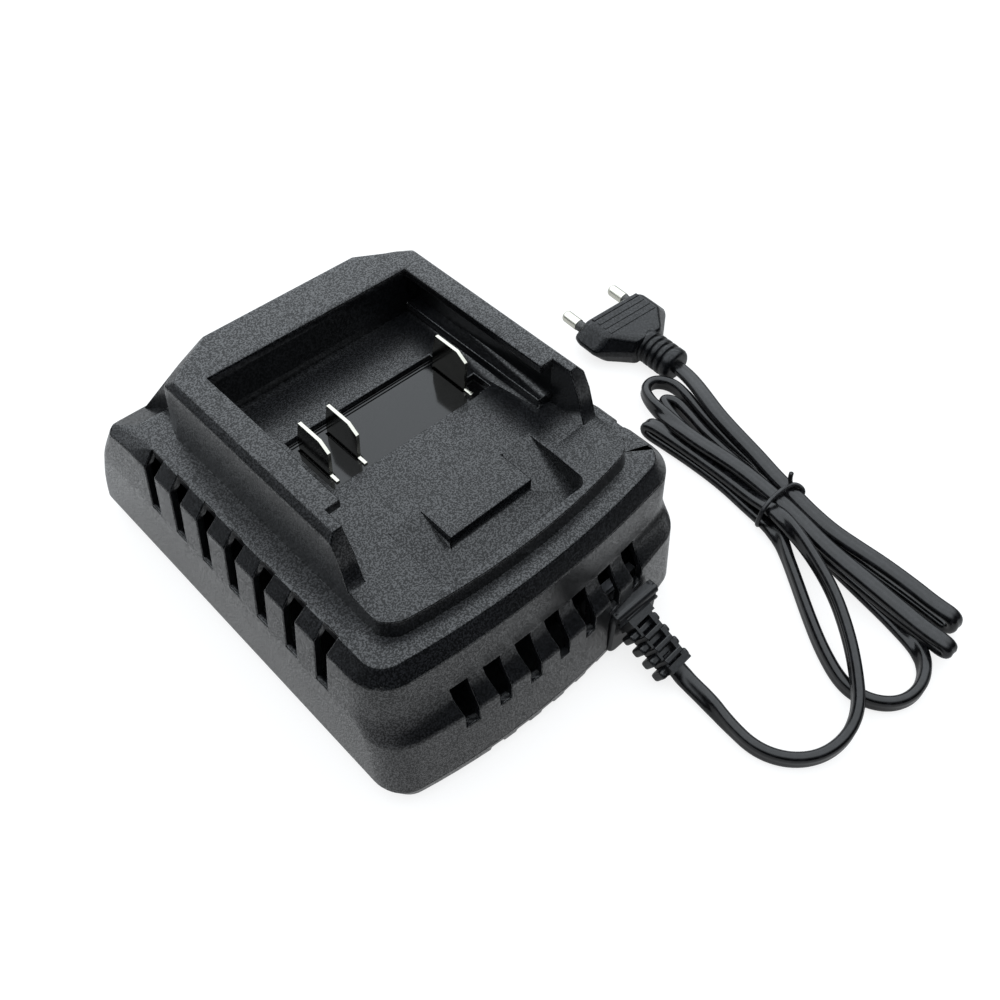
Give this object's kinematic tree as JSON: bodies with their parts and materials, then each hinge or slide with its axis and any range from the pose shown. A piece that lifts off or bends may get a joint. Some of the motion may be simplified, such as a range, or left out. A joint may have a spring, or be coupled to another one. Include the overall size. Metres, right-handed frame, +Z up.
{
  "type": "power tool battery charger",
  "caption": "Free-standing charger with an open bay for a slide-in tool battery, rail grooves, upright contacts, cooling slots and a bundled mains lead with a plug.",
  "frame": {"origin": "middle of the housing's footprint, on the surface that the feet stand on", "axes": "+Z up, -Y out of the front where the cord leaves, +Y the way a pack slides in, +X to the right as seen from the front"},
  "size_m": [0.1986, 0.2199, 0.0742],
  "materials": {
    "black_housing": "fine spark-eroded grain, matte",
    "gloss_black": "smooth, glossy",
    "nickel_plate": "nickel-plated, sheared edges",
    "board_laminate": "solder mask, satin",
    "winding_tape": "polyester tape",
    "ferrite": "pressed, dull",
    "capacitor_sleeve": "shrunk sleeve",
    "capacitor_box": "moulded box",
    "chip_compound": "moulding compound",
    "heat_sink_aluminium": "extruded",
    "fuse_brass": "plated caps",
    "lamp_red": "diffuse resin",
    "lamp_green": "diffuse resin",
    "clear_window": "clear moulded plastic",
    "board_connector": "moulded",
    "lead_insulation": "wire insulation",
    "soft_black": "soft moulding, satin",
    "zinc_steel": "zinc plated",
    "cord_sheath": "smooth soft plastic, glossy",
    "tie_film": "plastic-covered wire",
    "plug_compound": "moulded soft plastic, satin",
    "pin_metal": "nickel-plated, worn bright",
    "foot_rubber": "matte"
  },
  "bodies": {
    "root": {"top_housing": "black_housing", "base_cover": "black_housing", "terminal_block": "gloss_black", "contact_positive": "nickel_plate", "contact_sensor": "nickel_plate", "contact_negative": "nickel_plate", "circuit_board": "board_laminate", "transformer_winding": "winding_tape", "transformer_core": "ferrite", "input_capacitor": "capacitor_sleeve", "output_capacitor_1": "capacitor_sleeve", "output_capacitor_2": "capacitor_sleeve", "mains_choke": "ferrite", "interference_capacitor": "capacitor_box", "bridge_rectifier": "chip_compound", "optocoupler": "chip_compound", "control_chip": "chip_compound", "switching_transistor": "chip_compound", "heat_sink": "heat_sink_aluminium", "mains_fuse": "fuse_brass", "lamp_charging": "lamp_red", "lamp_ready": "lamp_green", "window_charging": "clear_window", "window_ready": "clear_window", "lead_header": "board_connector", "lead_positive": "lead_insulation", "lead_sensor": "lead_insulation", "lead_negative": "lead_insulation", "cord_gland": "soft_black", "cord_clamp": "zinc_steel", "mains_cord": "cord_sheath", "spare_turn": "cord_sheath", "plug_lead": "cord_sheath", "cord_hank": "cord_sheath", "twist_tie": "tie_film", "plug_body": "plug_compound", "pin_sleeve_1": "gloss_black", "pin_sleeve_2": "gloss_black", "plug_pin_1": "pin_metal", "plug_pin_2": "pin_metal", "rubber_foot_1": "foot_rubber", "housing_screw_1": "zinc_steel", "board_screw_1": "zinc_steel", "rubber_foot_2": "foot_rubber", "housing_screw_2": "zinc_steel", "board_screw_2": "zinc_steel", "rubber_foot_3": "foot_rubber", "housing_screw_3": "zinc_steel", "board_screw_3": "zinc_steel", "rubber_foot_4": "foot_rubber", "housing_screw_4": "zinc_steel", "board_screw_4": "zinc_steel"}
  },
  "joints": []
}
